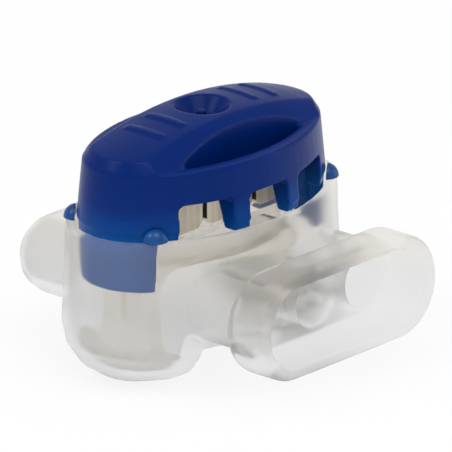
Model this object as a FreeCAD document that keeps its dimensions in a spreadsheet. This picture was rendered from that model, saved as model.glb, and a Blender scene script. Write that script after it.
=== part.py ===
import FreeCAD, Part
import math
import os

# Three-way wire connector: a translucent tub with a wire port, a press-down cap that carries
# a slotted contact plate, and the sealing gel round the wires.
# X runs along the cap, the wires enter along +Y through the port on the -Y side, Z is up,
# and the lobes' undersides lie at Z = 0.

doc = FreeCAD.newDocument("wire_connector")

SIZES = {
    # tub
    "rim_height": 11.57,
    "rim_half_length": 12.05,
    "rim_half_width": 7.45,
    "rim_wall_end": 0.83,
    "rim_wall_side": 0.53,
    "waist_bulge": 0.28,
    "tub_wall": 0.8,
    "lobe_rounding": 4.2,
    "lobe_length": 5.45,
    "lobe_edge": 0.9,
    "step_height": 3.2,
    # wires
    "wire_height": 6.44,
    "wire_pitch": 5.3,
    "wire_bore": 4.2,
    # port
    "neck_half_width": 8.0,
    "neck_half_height": 2.9,
    "collar_half_width": 9.5,
    "collar_half_height": 3.87,
    "collar_start": 10.5,
    "collar_end": 14.2,
    "collar_shoulder": 0.9,
    "collar_wall": 1.2,
    "collar_wall_height": 0.83,
    "port_depth": 3.1,
    "port_draft": 0.5,
    "mouth_edge": 0.2,
    # blind end, with the wires' pockets a stagger apart in depth
    "dome_half_width": 8.4,
    "dome_half_height": 2.95,
    "dome_end": 11.5,
    "dome_round": 2.4,
    "dome_wall": 0.85,
    "pocket_stagger": 0.02,
    # cap
    "cap_play": 0.12,
    "cap_draft": 0.4,
    "cap_side_top": 16.3,
    "cap_top": 18.7,
    "cap_bevel": 1.77,
    "cap_bevel_height": 2.73,
    "crown_radius": 34.0,
    "crown_side_radius": 14.0,
    "shoulder_side_radius": 4.5,
    "shoulder_lift": 0.58,
    "cap_wall": 1.15,
    "cap_wall_top": 2.05,
    "skirt_bottom": 11.3,
    "skirt_step": 0.12,
    "skirt_step_height": 11.95,
    "cap_ceiling": 14.25,
    "ridge_half_width": 3.3,
    "ridge_flare": 38.0,
    "lip_width_end": 0.4,
    "lip_width_side": 1.14,
    "pocket_floor": 15.0,
    "core_end_room": 0.76,
    "core_half_width": 2.1,
    "core_ceiling": 16.6,
    "rib_thickness": 1.0,
    "rib_place": 2.65,
    "rib_place_outer": 6.9,
    "rib_bottom": 14.3,
    "window_top": 13.85,
    "window_width": 4.0,
    "window_outer_half": 2.2,
    "tooth_width": 1.43,
    "window_corner": 0.3,
    "leg_length": 2.25,
    "leg_bottom": 7.45,
    "leg_draft": 0.2,
    "dimple_radius": 2.2,
    "dimple_floor_radius": 1.15,
    "dimple_depth": 1.25,
    "gate_radius": 0.38,
    "gate_height": 0.75,
    "grip_height": 0.15,
    "grip_width": 0.5,
    "grip_length": 3.4,
    "grip_first": 3.9,
    "grip_pitch": 2.2,
    # contact
    "plate_half_length": 7.64,
    "plate_thickness": 0.6,
    "plate_bottom": 9.35,
    "plate_slot": 0.42,
    "plate_slot_top": 13.6,
    "plate_lead_in": 0.7,
    "plate_play": 0.02,
    # stops
    "stop_radius": 0.98,
    "stop_inset": 1.95,
    # gel
    "gel_cover": 0.61,
    "gel_play": 0.25,
    "gel_skin": 0.03,
    # travel
    "press_travel": 4.7,
    # how far the pieces of one moulding run into each other, and tools past what they cut
    "merge": 0.1,
    "beyond": 30.0,
}

# An oval is four arcs on a 3-4-5 triangle: its end arcs are centred 3 parts out along X and its
# side arcs 4 parts out along Y, so they meet smoothly, and it is 2 parts narrower than it is long.
END_PARTS = 3
SIDE_PARTS = 4
NARROWING = 2
SIDE_ARC = math.degrees(2 * math.atan(END_PARTS / SIDE_PARTS))
END_ARC = 180 - SIDE_ARC

# Flats that stand for a quarter round.
TUB_FLAT_COUNT = 4
BOWL_FLAT_COUNT = 3
DOME_FLAT_COUNT = 3
SHOULDER_FLAT_COUNT = 3
EDGE_FLAT_COUNT = 2

# Sizes that follow from others: the cap fits the tub's mouth, and its well fits inside its lip.
TUB_CENTRES = "((rim_half_length - rim_half_width) / 2)"
WAIST_LENGTH = "(rim_half_length + waist_bulge)"
CAP_LENGTH = "(rim_half_length - rim_wall_end - cap_play)"
CAP_WIDTH = "(rim_half_width - rim_wall_side - cap_play)"
CAP_CENTRES = "((%s - %s) / 2)" % (CAP_LENGTH, CAP_WIDTH)
WELL_LENGTH = "(%s - cap_draft - lip_width_end)" % CAP_LENGTH
WELL_CENTRES = "((%s - (%s - cap_draft - lip_width_side)) / 2)" % (WELL_LENGTH, CAP_WIDTH)
LOBE_START = "(rim_half_length - lobe_length)"
LEG_START = "(%s - leg_length)" % CAP_LENGTH
GEL_TOP = "(wire_height + wire_bore / 2 + gel_cover)"

ALONG_X = FreeCAD.Vector(1, 0, 0)
ALONG_Y = FreeCAD.Vector(0, 1, 0)
ALONG_Z = FreeCAD.Vector(0, 0, 1)

sheet = doc.addObject("Spreadsheet::Sheet", "Sizes")
for row, (alias, value) in enumerate(SIZES.items(), start=1):
    sheet.set("A%d" % row, alias)
    sheet.set("B%d" % row, str(value))
    sheet.setAlias("B%d" % row, alias)
doc.recompute()


def size(alias):
    return float(getattr(sheet, alias))


def bound(text):
    """An expression on the sheet's aliases, written with their bare names."""
    words = []
    word = ""
    for char in text + " ":
        if char.isalpha() or (word and (char.isdigit() or char == "_")):
            word += char
            continue
        if word:
            words.append("Sizes." + word if word in SIZES else word)
            word = ""
        words.append(char)
    return "".join(words).strip()


def make(kind, name, **expressions):
    thing = doc.addObject(kind, name)
    for place, text in expressions.items():
        path = {"x": "Placement.Base.x", "y": "Placement.Base.y", "z": "Placement.Base.z"}.get(place, place)
        thing.setExpression(path, bound(text))
    return thing


def turn(thing, axis, angle):
    thing.Placement.Rotation = FreeCAD.Rotation(axis, angle)
    return thing


def box(name, x0, x1, y0, y1, z0, z1):
    """A box between two corners, each side an expression."""
    return make("Part::Box", name, x=x0, y=y0, z=z0, Length="(%s) - (%s)" % (x1, x0),
                Width="(%s) - (%s)" % (y1, y0), Height="(%s) - (%s)" % (z1, z0))


def deep_box(name, x0, x1, z0, z1):
    """A box right through the part from front to back."""
    return box(name, x0, x1, "-beyond", "beyond", z0, z1)


def wire_rod(name, index, y, radius, length):
    """A cylinder along Y on one of the three wires' lines."""
    thing = make("Part::Cylinder", name, x="wire_pitch * %d" % index, y=y, z="wire_height", Radius=radius,
                 Height=length)
    return turn(thing, ALONG_X, -90)


def fuse(name, parts):
    thing = doc.addObject("Part::MultiFuse", name)
    thing.Shapes = parts
    thing.Refine = True
    return thing


def common(name, parts):
    thing = doc.addObject("Part::MultiCommon", name)
    thing.Shapes = parts
    return thing


def cut(name, base, tool):
    thing = doc.addObject("Part::Cut", name)
    thing.Base = base
    thing.Tool = tool
    thing.Refine = True
    return thing


def carve(name, base, tools):
    """Cuts the tools away one after another."""
    for index, tool in enumerate(tools):
        base = cut("%s_%d" % (name, index), base, tool)
    return base


def round_band(name, low, high, **places):
    """A cylinder, or a cone where its two radii differ."""
    if low == high:
        return make("Part::Cylinder", name, Radius=low, **places)
    return make("Part::Cone", name, Radius1=low, Radius2=high, **places)


def oval_band(name, centres, low, high):
    """One band of an oval body between two levels, each (half length, height)."""
    (low_length, z0), (high_length, z1) = low, high
    height = "(%s) - (%s)" % (z1, z0)
    parts = []
    for side, label in ((1, "back"), (-1, "front")):
        radii = ["(%s) + %d * %s" % (length, NARROWING, centres) for length in (low_length, high_length)]
        arc = round_band("%s_%s_arc" % (name, label), *radii, y="%d * %s" % (-side * SIDE_PARTS, centres), z=z0,
                         Height=height)
        arc.Angle = SIDE_ARC
        turn(arc, ALONG_Z, 90 * side - SIDE_ARC / 2)
        start, end = ("0", "beyond") if side > 0 else ("-beyond", "0")
        half = box("%s_%s_half" % (name, label), "-beyond", "beyond", start, end, z0, z1)
        parts.append(common("%s_%s" % (name, label), [arc, half]))
    for side, label in ((1, "right"), (-1, "left")):
        radii = ["(%s) - %d * %s" % (length, END_PARTS, centres) for length in (low_length, high_length)]
        arc = round_band("%s_%s" % (name, label), *radii, x="%d * %s" % (side * END_PARTS, centres), z=z0,
                         Height=height)
        arc.Angle = END_ARC
        turn(arc, ALONG_Z, 90 - 90 * side - END_ARC / 2)
        parts.append(arc)
    return fuse(name, parts)


def ovals(name, centres, levels):
    """An oval body through several levels, each (half length, height), from the lowest up."""
    bands = [oval_band("%s_%d" % (name, index), centres, low, high)
             for index, (low, high) in enumerate(zip(levels, levels[1:]))]
    return bands[0] if len(bands) == 1 else fuse(name, bands)


def slabs(name, half_width, half_height, places):
    """A bar of stadium section along Y through several places, each (inset all round, y)."""
    flat = "((%s) - (%s))" % (half_width, half_height)
    parts = []
    for index, ((inset, y0), (next_inset, y1)) in enumerate(zip(places, places[1:])):
        here = "((%s) - (%s))" % (half_height, inset)
        there = "((%s) - (%s))" % (half_height, next_inset)
        depth = "(%s) - (%s)" % (y1, y0)
        for side, x in (("left", "-" + flat), ("right", flat)):
            end = round_band("%s_%s_%d" % (name, side, index), here, there, x=x, y=y0, z="wire_height",
                             Height=depth)
            parts.append(turn(end, ALONG_X, -90))
        parts.append(make("Part::Wedge", "%s_middle_%d" % (name, index), y=y0, z="wire_height",
                          Xmin="-" + flat, Xmax=flat, X2min="-" + flat, X2max=flat, Ymin="0", Ymax=depth,
                          Zmin="-" + here, Zmax=here, Z2min="-" + there, Z2max=there))
    return fuse(name, parts)


def quarter_round(radius, flats):
    """Corners of a quarter round in flats, each (inset, rise), from its end face up to its straight side."""
    corners = []
    for step in range(flats):
        angle = math.radians(90.0 * step / flats)
        inset = "(%s) * %.5f" % (radius, 1 - math.sin(angle))
        rise = "(%s) * %.5f" % (radius, 1 - math.cos(angle))
        corners.append((inset, rise))
    return corners + [("0", radius)]


def near(value, target):
    return abs(value - target) < size("plate_play")


def tub_form(name, centres, waist, rim, floor, rounding, flats):
    """Round-bottomed oval bowl: quarter-round underside up to the waist, drawn in above it."""
    underside = [("(%s) - (%s)" % (waist, inset), "(%s) + (%s)" % (floor, rise))
                 for inset, rise in quarter_round(rounding, flats)]
    return ovals(name, centres, underside + [(rim, "rim_height")])


def step_space():
    """What is missing under the tub's middle, widened where the lobes' inner edges are softened."""
    parts = [deep_box("step_middle", "-" + LOBE_START, LOBE_START, "-beyond", "step_height")]
    corners = quarter_round("lobe_edge", EDGE_FLAT_COUNT)
    for index, ((inset, z0), (next_inset, z1)) in enumerate(zip(corners, corners[1:])):
        low = "(%s + (%s))" % (LOBE_START, inset)
        high = "(%s + (%s))" % (LOBE_START, next_inset)
        slope = make("Part::Wedge", "lobe_edge_%d" % index, z=z0, Xmin="-" + low, Xmax=low, X2min="-" + high,
                     X2max=high, Ymin="0", Ymax="(%s) - (%s)" % (z1, z0), Zmin="-beyond", Zmax="beyond",
                     Z2min="-beyond", Z2max="beyond")
        parts.append(turn(slope, ALONG_X, 90))
    return fuse("step_space", parts)


def cavity():
    """The room inside the tub: the bowl, with its floor raised under the wires."""
    mouth = CAP_LENGTH + " + cap_play"
    bowl = tub_form("bowl", CAP_CENTRES, WAIST_LENGTH + " - tub_wall", mouth, "tub_wall",
                    "lobe_rounding - tub_wall", BOWL_FLAT_COUNT)
    above = ovals("bowl_mouth", CAP_CENTRES, [(mouth, "rim_height"), (mouth, "beyond")])
    end = "(%s + tub_wall)" % LOBE_START
    floor = deep_box("wire_floor", "-" + end, end, "0", "wire_height - wire_bore / 2 - merge")
    return cut("cavity", fuse("whole_cavity", [bowl, above]), floor)


def collar():
    """The port's flared end, with a softened mouth edge and a rounded shoulder behind."""
    shoulder = [(inset, "-collar_start - (%s)" % rise)
                for inset, rise in quarter_round("collar_shoulder", SHOULDER_FLAT_COUNT)]
    front = [("mouth_edge", "-collar_end"), ("0", "mouth_edge - collar_end")]
    return slabs("collar", "collar_half_width", "collar_half_height", front + shoulder[::-1])


def housing():
    """The tub with its two end lobes, the wire port in front and the blind end behind."""
    blank = tub_form("tub_blank", TUB_CENTRES, WAIST_LENGTH, "rim_half_length", "0", "lobe_rounding",
                     TUB_FLAT_COUNT)
    tub = cut("tub", blank, step_space())
    neck = slabs("neck", "neck_half_width", "neck_half_height",
                 [("0", "-collar_start - collar_shoulder"), ("0", "0")])
    tip = [(inset, "dome_end - (%s)" % rise) for inset, rise in quarter_round("dome_round", DOME_FLAT_COUNT)]
    dome = slabs("dome", "dome_half_width", "dome_half_height", [("0", "0")] + tip[::-1])
    outside = fuse("housing_outside", [tub, neck, collar(), dome])
    mouth = slabs("mouth", "collar_half_width - collar_wall", "collar_half_height - collar_wall_height",
                  [("0", "-collar_end"), ("port_draft", "port_depth - collar_end")])
    start = "port_depth - collar_end - merge"
    bores = []
    for index in (-1, 0, 1):
        length = "dome_end - dome_wall + %d * pocket_stagger - (%s)" % (index, start)
        bores.append(wire_rod("wire_bore_%d" % (index + 2), index, start, "wire_bore / 2", length))
    return carve("housing", outside, [cavity(), mouth] + bores)


def ridge_bar(name):
    """The bar along X that stays standing between the finger pockets, flared towards its ends."""
    bar = deep_box(name + "_bar", "-beyond", "beyond", "pocket_floor - merge", "cap_top")
    flanks = []
    for side, label in ((-1, "front"), (1, "back")):
        flanks.append(make("Part::Cylinder", "%s_%s" % (name, label), Radius="ridge_flare", Height="beyond",
                           y="%d * (ridge_half_width + ridge_flare)" % side))
    return carve(name, bar, flanks)


def crown(name, side_radius, lift):
    """A barrel whose top is a crowned surface, long-curved along X and shorter across."""
    barrel = make("Part::Torus", name, Radius1="crown_radius + (%s) - (%s)" % (lift, side_radius),
                  Radius2=side_radius, z="cap_top - crown_radius")
    return turn(barrel, ALONG_X, 90)


def cap_outside():
    """The cap's outer form: drafted side, bevelled top edge, stepped skirt and the crowned ridge on top."""
    low = CAP_LENGTH + " - skirt_step"
    top = CAP_LENGTH + " - cap_draft"
    side = ovals("cap_side", CAP_CENTRES, [(CAP_LENGTH, "skirt_step_height"), (top, "cap_side_top"),
                                           (top + " - cap_bevel", "cap_side_top + cap_bevel_height")])
    skirt = ovals("cap_skirt", CAP_CENTRES, [(low + " - leg_draft", "leg_bottom"), (low, "skirt_step_height")])
    ridge = common("ridge_crowned", [ridge_bar("ridge"), crown("crown", "crown_side_radius", "0"),
                                     crown("shoulder", "shoulder_side_radius", "shoulder_lift")])
    below_lip = deep_box("below_lip", "-beyond", "beyond", "0", "cap_side_top")
    return common("cap_outside", [fuse("cap_block", [side, skirt]), fuse("cap_kept", [ridge, below_lip])])


def window(name, start, end):
    """A window's tool, with its two upper corners taken off."""
    plain = deep_box(name + "_plain", start, end, "leg_bottom", "window_top")
    doc.recompute()
    tops = []
    for index, edge in enumerate(plain.Shape.Edges, start=1):
        first, last = edge.discretize(2)
        runs_along_y = near(first.x, last.x) and near(first.z, last.z)
        if runs_along_y and near(first.z, size("window_top")):
            tops.append((index, size("window_corner"), size("window_corner")))
    thing = doc.addObject("Part::Chamfer", name)
    thing.Base = plain
    thing.Edges = tops
    return thing


def notches():
    """The space between the legs, and three windows in each long side straight through both."""
    between_legs = deep_box("between_legs", "-" + LEG_START, LEG_START, "leg_bottom - merge", "skirt_bottom")
    inner = "(window_width / 2)"
    outer = "(wire_pitch + window_outer_half)"
    spans = [("-" + inner, inner), (inner + " + tooth_width", outer),
             ("-" + outer, "-%s - tooth_width" % inner)]
    windows = [window("window_%d" % index, start, end) for index, (start, end) in enumerate(spans)]
    return fuse("notches", [between_legs] + windows)


def skirt_hollow():
    """The room inside the cap's skirt, narrower towards its ceiling."""
    inside = CAP_LENGTH + " - cap_wall"
    return ovals("skirt_hollow", CAP_CENTRES, [(inside, "leg_bottom - merge"), (inside, "skirt_bottom"),
                                               (CAP_LENGTH + " - cap_wall_top", "cap_ceiling")])


def pockets():
    """The two finger pockets beside the ridge."""
    well = ovals("well", WELL_CENTRES, [(WELL_LENGTH, "pocket_floor"), (WELL_LENGTH, "cap_top")])
    return cut("pockets", well, ridge_bar("ridge_between"))


def dimple():
    """The conical dimple in the ridge's top; its slope is carried on above the surface."""
    return make("Part::Cone", "dimple", Radius1="dimple_floor_radius", z="cap_top - dimple_depth",
                Radius2="2 * dimple_radius - dimple_floor_radius", Height="2 * dimple_depth")


def plate_space(name, play):
    """The slab of space that the contact plate takes up, with some play round it."""
    return box(name, "-plate_half_length - %s" % play, "plate_half_length + %s" % play,
               "-plate_thickness / 2 - %s" % play, "plate_thickness / 2 + %s" % play,
               "wire_height - wire_bore / 2", "core_ceiling")


def ribs():
    """Cross ribs under the ridge that grip the contact plate."""
    boxes = []
    side = "(core_half_width + merge)"
    for index, place in enumerate(("-rib_place_outer", "-rib_place", "rib_place", "rib_place_outer")):
        boxes.append(box("rib_%d" % index, "%s - rib_thickness / 2" % place, "%s + rib_thickness / 2" % place,
                         "-" + side, side, "rib_bottom", "core_ceiling + merge"))
    return cut("ribs", fuse("rib_set", boxes), plate_space("rib_slot", "plate_play"))


def grip_bars():
    """Raised bars across the ridge's top, two on each side of the dimple."""
    bars = []
    for side, label in ((-1, "left"), (1, "right")):
        for index in range(2):
            place = "%d * (grip_first + grip_pitch * %d)" % (side, index)
            start, end = place + " - grip_width / 2", place + " + grip_width / 2"
            bars.append(box("grip_%s_%d" % (label, index), start, end, "-grip_length / 2", "grip_length / 2",
                            "core_ceiling + merge", "beyond"))
    raised = crown("grip_crown", "crown_side_radius", "grip_height")
    return common("grip_bars", [fuse("grip_set", bars), raised])


def press_cap():
    """The moulded cap: crowned ridge, two finger pockets, notched skirt and two end legs."""
    end = "(plate_half_length + core_end_room)"
    core = box("ridge_core", "-" + end, end, "-core_half_width", "core_half_width", "cap_ceiling - merge",
               "core_ceiling")
    shell = carve("cap_shell", cap_outside(), [notches(), skirt_hollow(), pockets(), core, dimple()])
    gate = make("Part::Cylinder", "gate_mark", z="cap_top - dimple_depth - merge", Radius="gate_radius",
                Height="gate_height + merge")
    return fuse("press_cap", [shell, ribs(), gate, grip_bars()])


def contact_plate():
    """The stamped plate with three slots, open and flared at the bottom, round at the top."""
    plate = box("plate_blank", "-plate_half_length", "plate_half_length", "-plate_thickness / 2",
                "plate_thickness / 2", "plate_bottom", "core_ceiling - plate_play")
    cutters = []
    for index in (-1, 0, 1):
        place = "wire_pitch * %d" % index
        left, right = place + " - plate_slot / 2", place + " + plate_slot / 2"
        cutters.append(deep_box("slot_%d" % (index + 2), left, right, "0", "plate_slot_top"))
        end = make("Part::Cylinder", "slot_end_%d" % (index + 2), x=place, y="-plate_thickness",
                   z="plate_slot_top", Radius="plate_slot / 2", Height="2 * plate_thickness")
        cutters.append(turn(end, ALONG_X, -90))
        lead = make("Part::Box", "lead_in_%d" % (index + 2), x=place, y="-plate_thickness",
                    z="plate_bottom - plate_lead_in", Length="plate_lead_in * sqrt(2)",
                    Width="2 * plate_thickness", Height="plate_lead_in * sqrt(2)")
        cutters.append(turn(lead, ALONG_Y, -45))
    return cut("contact_plate", plate, fuse("slots", cutters))


def cap_stops():
    """Four quarter-round stops that stand on the rim against the cap and hold it raised."""
    balls = []
    centre = "%d * %s" % (SIDE_PARTS, CAP_CENTRES)
    radius = "(%s + %d * %s)" % (CAP_LENGTH, NARROWING, CAP_CENTRES)
    place = "(%s - stop_inset)" % CAP_LENGTH
    reach = "(sqrt(%s ^ 2 - %s ^ 2) - %s)" % (radius, place, centre)
    for index, (left, front) in enumerate(((-1, -1), (1, -1), (1, 1), (-1, 1))):
        ball = make("Part::Sphere", "stop_ball_%d" % index, x="%d * %s" % (left, place),
                    y="%d * %s" % (front, reach), z="rim_height", Radius="stop_radius")
        ball.Angle1 = 0
        balls.append(ball)
    clear = CAP_LENGTH + " + cap_play"
    inside = ovals("stop_clear", CAP_CENTRES, [(clear, "rim_height - merge"), (clear, "cap_side_top")])
    return cut("cap_stops", fuse("stop_balls", balls), inside)


def gel_pools():
    """The gel in the lobes, under the lowest reach of the cap's legs."""
    skin = "(tub_wall + gel_skin)"
    whole = tub_form("gel_form", CAP_CENTRES, "%s - %s" % (WAIST_LENGTH, skin), CAP_LENGTH, skin,
                     "lobe_rounding - " + skin, BOWL_FLAT_COUNT)
    start = "(%s + %s)" % (LOBE_START, skin)
    top = "leg_bottom - press_travel - gel_play"
    ends = fuse("gel_lobes", [deep_box("gel_lobe_left", "-beyond", "-" + start, "0", top),
                              deep_box("gel_lobe_right", start, "beyond", "0", top)])
    return common("gel_pools", [whole, ends])


def sealing_gel():
    """The gel round the wires' way, clear of all that the cap drives down into it."""
    inside = CAP_LENGTH + " - cap_wall - leg_draft - gel_play"
    core = ovals("gel_core", CAP_CENTRES, [(inside, "leg_bottom - press_travel - 2 * gel_play"),
                                           (CAP_LENGTH + " - cap_wall_top - gel_play", GEL_TOP)])
    end = "(%s + tub_wall + gel_skin)" % LOBE_START
    under = deep_box("under_gel", "-" + end, end, "0", "wire_height")
    wire_way = slabs("wire_way", "wire_pitch + wire_bore / 2", "wire_bore / 2",
                     [("0", "-beyond"), ("0", "beyond")])
    middle = carve("gel_middle", core, [under, wire_way, plate_space("plate_way", "gel_play")])
    return fuse("sealing_gel", [gel_pools(), middle])


def finish(thing, label):
    """Names a finished sub-part and places it so that the whole part is centred in plan."""
    thing.Label = label
    thing.setExpression("Placement.Base.y", bound("(collar_end - dome_end) / 2"))
    return thing


def check(nodes):
    for thing in doc.Objects:
        if "Invalid" in thing.State or "Error" in thing.State:
            raise RuntimeError("%s is in error" % thing.Name)
    for node in nodes:
        if node.Shape.isNull() or not node.Shape.isValid():
            raise RuntimeError("%s has no valid shape" % node.Label)


nodes = [finish(housing(), "housing"), finish(press_cap(), "press_cap"),
         finish(contact_plate(), "contact_plate"), finish(cap_stops(), "cap_stops"),
         finish(sealing_gel(), "sealing_gel")]
doc.recompute()
check(nodes)
os.makedirs("parts", exist_ok=True)
for node in nodes:
    print(node.Label, len(node.Shape.Solids), "solids,", round(node.Shape.Volume, 2), "mm3")
    node.Shape.exportStep("parts/%s.step" % node.Label)
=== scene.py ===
import bpy
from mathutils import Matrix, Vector

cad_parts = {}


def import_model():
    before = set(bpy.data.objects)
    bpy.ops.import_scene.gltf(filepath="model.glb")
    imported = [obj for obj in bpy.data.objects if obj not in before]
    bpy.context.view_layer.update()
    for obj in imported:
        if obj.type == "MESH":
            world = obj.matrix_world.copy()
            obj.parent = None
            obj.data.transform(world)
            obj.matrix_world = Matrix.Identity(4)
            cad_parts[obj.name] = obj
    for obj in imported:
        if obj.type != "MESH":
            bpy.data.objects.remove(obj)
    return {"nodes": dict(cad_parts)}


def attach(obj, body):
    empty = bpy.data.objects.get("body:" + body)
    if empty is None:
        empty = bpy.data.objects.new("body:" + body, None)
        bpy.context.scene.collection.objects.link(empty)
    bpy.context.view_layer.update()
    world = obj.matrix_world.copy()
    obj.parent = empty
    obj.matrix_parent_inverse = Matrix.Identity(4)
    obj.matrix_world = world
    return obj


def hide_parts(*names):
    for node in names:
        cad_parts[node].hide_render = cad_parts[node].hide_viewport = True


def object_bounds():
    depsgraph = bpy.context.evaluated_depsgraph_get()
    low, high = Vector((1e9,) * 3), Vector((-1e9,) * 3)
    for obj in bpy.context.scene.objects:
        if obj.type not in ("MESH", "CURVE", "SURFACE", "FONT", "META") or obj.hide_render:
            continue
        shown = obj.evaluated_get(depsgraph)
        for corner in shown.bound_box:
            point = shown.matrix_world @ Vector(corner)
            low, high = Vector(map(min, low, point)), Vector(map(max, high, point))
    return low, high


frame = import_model()
cad_box = [list(corner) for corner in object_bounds()]
nodes = frame["nodes"]

MM = 0.001

# Heights over which the plastics' colours change: up to the tub's rim, and to just past the cap's top.
TUB_TOP = 11.6 * MM
CAP_REACH = 20.0 * MM

# The contact plate's slots lie one wire's pitch apart, the middle one at X = 0.
WIRE_PITCH = 5.3 * MM
SLOT_HALF_WIDTH = 0.215 * MM
SLOT_EDGE = 0.06 * MM

# Where a noise rises from a pattern's first tone, and where it reaches the second.
TONE_START = 0.3
TONE_END = 0.7
EVEN = (1.0, 1.0, 1.0)
WHITE = (1.0, 1.0, 1.0)
OPAQUE = (1.0,)

# The body each moulded piece rides on, and how its edges are softened: the size of the voxels, the rounds
# of smoothing, and the share of the triangles that is kept.
SOFTENING = {
    "housing": {"body": "base", "voxel": 0.16 * MM, "rounds": 5, "share": 0.4},
    "press_cap": {"body": "cap", "voxel": 0.12 * MM, "rounds": 6, "share": 0.4},
    "cap_stops": {"body": "base", "voxel": 0.06 * MM, "rounds": 5, "share": 0.5},
}

FLOOR_REACH = 2.0
FLOOR_DROP = 0.02 * MM
FLOOR_WHITE_SHARE = 0.82
WORLD_LIGHT = 0.65

# Rectangular lamps, in metres and watts.
LAMPS = {
    "key_above": {"at": (-0.05, -0.12, 0.32), "aim": (0, 0, 0.01), "sides": (0.22, 0.22), "power": 0.4},
    "edge_left": {"at": (-0.19, 0.12, 0.26), "aim": (0, 0, 0.015), "sides": (0.10, 0.14), "power": 0.22},
    "side_right": {"at": (0.28, -0.22, 0.10), "aim": (0, 0, 0.01), "sides": (0.12, 0.24), "power": 0.12},
}

CAMERA_PLACE = (-0.70497, -0.63495, 0.35889)
CAMERA_LOOK = (0.6978, 0.6275, -0.3455)
CAMERA_LENS = 1120.4
CAMERA_SENSOR = 36.0
CAMERA_NEAR = 0.05
CAMERA_FAR = 20.0


def material(name):
    made = bpy.data.materials.new(name)
    made.use_nodes = True
    tree = made.node_tree
    return made, tree, tree.nodes["Principled BSDF"]


def set_inputs(made, values):
    for key, value in values.items():
        made.inputs[key].default_value = value


def node(tree, kind, values=None, **settings):
    """A shader node with its settings, and values on its inputs."""
    made = tree.nodes.new(kind)
    for key, value in settings.items():
        setattr(made, key, value)
    set_inputs(made, values or {})
    return made


def along(tree, axis):
    """The place along one of the object's axes."""
    where = node(tree, "ShaderNodeTexCoord")
    parts = node(tree, "ShaderNodeSeparateXYZ")
    tree.links.new(where.outputs["Object"], parts.inputs["Vector"])
    return parts.outputs[axis]


def mapped(tree, source, ends):
    """A number taken from one range to another; ends that aren't given are 0 and 1."""
    made = node(tree, "ShaderNodeMapRange", ends)
    tree.links.new(source, made.inputs["Value"])
    return made.outputs["Result"]


def noise(tree, scale, detail, stretch=EVEN):
    """Noise fixed to the object, stretched by a factor on each axis."""
    where = node(tree, "ShaderNodeTexCoord")
    mapping = node(tree, "ShaderNodeMapping", {"Scale": stretch})
    made = node(tree, "ShaderNodeTexNoise", {"Scale": scale, "Detail": detail})
    tree.links.new(where.outputs["Object"], mapping.inputs["Vector"])
    tree.links.new(mapping.outputs["Vector"], made.inputs["Vector"])
    return made.outputs["Fac"]


def ramp(tree, source, stops):
    """A number turned into a colour by stops, each a number and its colour."""
    made = node(tree, "ShaderNodeValToRGB")
    elements = made.color_ramp.elements
    while len(elements) < len(stops):
        elements.new(1.0)
    for element, (at, colour) in zip(elements, stops):
        element.position = at
        element.color = colour + OPAQUE
    tree.links.new(source, made.inputs["Fac"])
    return made.outputs["Color"]


def two_tone(tree, source, first, second):
    return ramp(tree, source, [(TONE_START, first), (TONE_END, second)])


def grey(level):
    return (level, level, level)


def multiplied(tree, first, second):
    made = node(tree, "ShaderNodeMix", {"Factor": 1.0}, data_type="RGBA", blend_type="MULTIPLY")
    tree.links.new(first, made.inputs["A"])
    tree.links.new(second, made.inputs["B"])
    return made.outputs["Result"]


def coloured(tree, shader, colour):
    tree.links.new(colour, shader.inputs["Base Color"])


def roughened(tree, shader, source, low, high):
    tree.links.new(mapped(tree, source, {"To Min": low, "To Max": high}), shader.inputs["Roughness"])


def bumped(tree, shader, source, strength, depth):
    made = node(tree, "ShaderNodeBump", {"Strength": strength, "Distance": depth})
    tree.links.new(source, made.inputs["Height"])
    tree.links.new(made.outputs["Normal"], shader.inputs["Normal"])


def blue_plastic():
    """Deep blue moulded polypropylene with faint flow marks, painted brighter low down to stand in for light
    coming through its thin legs.
    """
    made, tree, shader = material("blue_polypropylene")
    flow = noise(tree, scale=260.0, detail=3.0, stretch=(1.0, 1.0, 0.35))
    haze = noise(tree, scale=900.0, detail=2.0)
    # Painted light: below about 12 mm the blue is painted brighter, standing in for light that shines through
    # the thin legs and skirt.
    by_height = ramp(tree, mapped(tree, along(tree, "Z"), {"From Max": CAP_REACH}), [
        (0.0, (0.0, 0.10, 0.42)),
        (0.555, (0.0, 0.09, 0.38)),
        (0.61, (0.0, 0.05, 0.25)),
        (0.69, (0.0, 0.022, 0.17)),
        (1.0, (0.0, 0.016, 0.14)),
    ])
    coloured(tree, shader, multiplied(tree, by_height, two_tone(tree, flow, grey(0.86), WHITE)))
    roughened(tree, shader, haze, low=0.24, high=0.34)
    bumped(tree, shader, flow, strength=0.08, depth=0.02 * MM)
    set_inputs(shader, {"IOR": 1.45, "Specular IOR Level": 0.1})
    return made


def blue_plastic_painted_backlit():
    """The same plastic in small nubs. Some light really passes through them, and their blue is also painted
    brighter for the light that comes through.
    """
    made, tree, shader = material("blue_polypropylene_painted_backlit")
    haze = noise(tree, scale=700.0, detail=2.0)
    # Painted light: a lighter blue than the cap's, standing in for light shining through the nubs.
    coloured(tree, shader, two_tone(tree, haze, (0.0, 0.06, 0.27), (0.0, 0.10, 0.36)))
    roughened(tree, shader, haze, low=0.2, high=0.3)
    set_inputs(shader, {"IOR": 1.45, "Specular IOR Level": 0.35, "Transmission Weight": 0.35})
    return made


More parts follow.
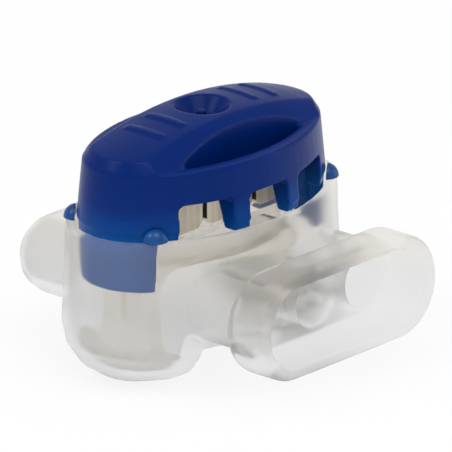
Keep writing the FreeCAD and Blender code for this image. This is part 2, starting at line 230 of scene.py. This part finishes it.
def milky_plastic():
    """Natural polypropylene: shows softly what lies behind it, and is warmer just below the rim."""
    made, tree, shader = material("natural_polypropylene")
    cloud = noise(tree, scale=140.0, detail=4.0)
    by_height = ramp(tree, mapped(tree, along(tree, "Z"), {"From Max": TUB_TOP}), [
        (0.0, (0.88, 0.885, 0.885)),
        (0.55, (0.83, 0.83, 0.825)),
        (0.72, (0.85, 0.835, 0.81)),
        (0.9, (0.88, 0.855, 0.81)),
        (0.97, (0.93, 0.92, 0.90)),
    ])
    coloured(tree, shader, multiplied(tree, by_height, two_tone(tree, cloud, grey(0.96), WHITE)))
    roughened(tree, shader, cloud, low=0.32, high=0.4)
    bumped(tree, shader, cloud, strength=0.06, depth=0.04 * MM)
    set_inputs(shader, {
        "IOR": 1.05,
        "Transmission Weight": 0.94,
        "Specular IOR Level": 0.5,
        "Coat Weight": 0.1,
        "Coat Roughness": 0.15,
        "Coat IOR": 1.4,
    })
    return made


def off_slot(tree):
    """0 in the plate's slots and 1 on its face, by the distance to the nearest wire's line: the mask of the
    painted shade in the slots.
    """
    distance = node(tree, "ShaderNodeMath", operation="PINGPONG")
    distance.inputs[1].default_value = WIRE_PITCH / 2
    tree.links.new(along(tree, "X"), distance.inputs[0])
    edge = {"From Min": SLOT_HALF_WIDTH, "From Max": SLOT_HALF_WIDTH + SLOT_EDGE}
    return mapped(tree, distance.outputs["Value"], edge)


def tinned_plate():
    """Tin-plated brass with the streaks of its rolling, with painted shade darkening the stamped slots."""
    made, tree, shader = material("tinned_brass")
    streaks = noise(tree, scale=900.0, detail=3.0, stretch=(1.0, 1.0, 0.06))
    face = two_tone(tree, streaks, (0.52, 0.46, 0.35), (0.88, 0.82, 0.70))
    # Painted shade: the slots are painted nearly black, standing in for the shade inside them.
    slots = ramp(tree, off_slot(tree), [(0.0, (0.03, 0.022, 0.015)), (1.0, WHITE)])
    coloured(tree, shader, multiplied(tree, face, slots))
    roughened(tree, shader, streaks, low=0.34, high=0.5)
    bumped(tree, shader, streaks, strength=0.25, depth=0.03 * MM)
    set_inputs(shader, {"Metallic": 0.6})
    return made


def clear_gel():
    """Soft sealing gel, slightly yellow and hazy, with a wet surface."""
    made, tree, shader = material("sealing_gel")
    haze = noise(tree, scale=420.0, detail=3.0)
    coloured(tree, shader, two_tone(tree, haze, (0.94, 0.91, 0.85), (0.98, 0.96, 0.92)))
    roughened(tree, shader, haze, low=0.15, high=0.25)
    bumped(tree, shader, haze, strength=0.2, depth=0.1 * MM)
    set_inputs(shader, {"IOR": 1.08, "Transmission Weight": 0.88, "Coat Weight": 0.4, "Coat Roughness": 0.08})
    return made


def dress(thing, made):
    thing.data.materials.clear()
    thing.data.materials.append(made)


def linked(name, data):
    thing = bpy.data.objects.new(name, data)
    bpy.context.scene.collection.objects.link(thing)
    return thing


def keep_inside(thing, source):
    """Moves points that stand out of a CAD node's box back to the box's side."""
    low = [min(corner[axis] for corner in source.bound_box) for axis in range(3)]
    high = [max(corner[axis] for corner in source.bound_box) for axis in range(3)]
    for vertex in thing.data.vertices:
        vertex.co = [min(max(vertex.co[axis], low[axis]), high[axis]) for axis in range(3)]


def softened(name, made, body, voxel, rounds, share):
    """A copy of a CAD node with its edges rounded a little, as moulding leaves them."""
    source = nodes[name]
    thing = linked(name + "_moulded", source.data.copy())
    thing.matrix_world = source.matrix_world
    even = thing.modifiers.new("even", "REMESH")
    even.mode = "VOXEL"
    even.voxel_size = voxel
    smooth = thing.modifiers.new("round", "SMOOTH")
    smooth.iterations = rounds
    fewer = thing.modifiers.new("fewer", "DECIMATE")
    fewer.ratio = share
    graph = bpy.context.evaluated_depsgraph_get()
    thing.data = bpy.data.meshes.new_from_object(thing.evaluated_get(graph))
    thing.modifiers.clear()
    keep_inside(thing, source)
    thing.data.shade_smooth()
    dress(thing, made)
    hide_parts(name)
    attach(thing, body)


def mesh_object(name, points, faces, made):
    mesh = bpy.data.meshes.new(name)
    mesh.from_pydata(points, [], faces)
    mesh.materials.append(made)
    return linked(name, mesh)


def direct_or_through(tree):
    """1 for what the camera sees directly or through clear plastic."""
    path = node(tree, "ShaderNodeLightPath")
    seen = node(tree, "ShaderNodeMath", operation="MAXIMUM")
    tree.links.new(path.outputs["Is Camera Ray"], seen.inputs[0])
    tree.links.new(path.outputs["Is Transmission Ray"], seen.inputs[1])
    return seen.outputs["Value"]


def blended(tree, share, first, second, output):
    """Sends two shaders to the output node, the second by its share."""
    mix = node(tree, "ShaderNodeMixShader")
    tree.links.new(share, mix.inputs["Fac"])
    tree.links.new(first.outputs[0], mix.inputs[1])
    tree.links.new(second.outputs[0], mix.inputs[2])
    tree.links.new(mix.outputs["Shader"], tree.nodes[output].inputs["Surface"])


def floor():
    """A pale level floor, large enough to fill every view, with its shadow kept faint."""
    made, tree, shader = material("floor_white")
    set_inputs(shader, {"Base Color": grey(0.95) + OPAQUE, "Roughness": 0.9, "Specular IOR Level": 0.0})
    white = node(tree, "ShaderNodeEmission", {"Strength": 1.0})
    share = node(tree, "ShaderNodeMath", operation="MULTIPLY")
    share.inputs[1].default_value = FLOOR_WHITE_SHARE
    tree.links.new(direct_or_through(tree), share.inputs[0])
    blended(tree, share.outputs["Value"], shader, white, "Material Output")
    level = cad_box[0][2] - FLOOR_DROP
    signs = [(-1, -1), (1, -1), (1, 1), (-1, 1)]
    corners = [(x * FLOOR_REACH, y * FLOOR_REACH, level) for x, y in signs]
    mesh_object("floor", corners, [(0, 1, 2, 3)], made)


def world():
    """White to the camera and behind clear plastic, softer as light."""
    studio = bpy.data.worlds.new("studio")
    bpy.context.scene.world = studio
    studio.use_nodes = True
    tree = studio.node_tree
    soft = tree.nodes["Background"]
    set_inputs(soft, {"Color": (0.97, 0.98, 1.0) + OPAQUE, "Strength": WORLD_LIGHT})
    white = node(tree, "ShaderNodeBackground", {"Strength": 1.0, "Color": WHITE + OPAQUE})
    blended(tree, direct_or_through(tree), soft, white, "World Output")


def aimed(thing, direction):
    thing.rotation_euler = Vector(direction).to_track_quat("-Z", "Y").to_euler()


def lamp(name, at, aim, sides, power):
    light = bpy.data.lights.new(name, "AREA")
    light.shape = "RECTANGLE"
    light.size, light.size_y = sides
    light.energy = power
    thing = linked(name, light)
    thing.location = at
    aimed(thing, Vector(aim) - Vector(at))


def camera():
    """A long lens from the front left, a little above."""
    data = bpy.data.cameras.new("camera")
    data.sensor_width = CAMERA_SENSOR
    data.sensor_height = CAMERA_SENSOR
    data.sensor_fit = "HORIZONTAL"
    data.lens = CAMERA_LENS
    data.clip_start = CAMERA_NEAR
    data.clip_end = CAMERA_FAR
    thing = linked("camera", data)
    thing.location = CAMERA_PLACE
    aimed(thing, CAMERA_LOOK)
    bpy.context.scene.camera = thing


plastics = {
    "housing": milky_plastic(),
    "press_cap": blue_plastic(),
    "cap_stops": blue_plastic_painted_backlit(),
}
dress(nodes["contact_plate"], tinned_plate())
dress(nodes["sealing_gel"], clear_gel())
for name, made in plastics.items():
    dress(nodes[name], made)
    softened(name, made, **SOFTENING[name])
floor()
world()
for name, settings in LAMPS.items():
    lamp(name, **settings)
camera()
bpy.context.scene.view_settings.view_transform = "Standard"
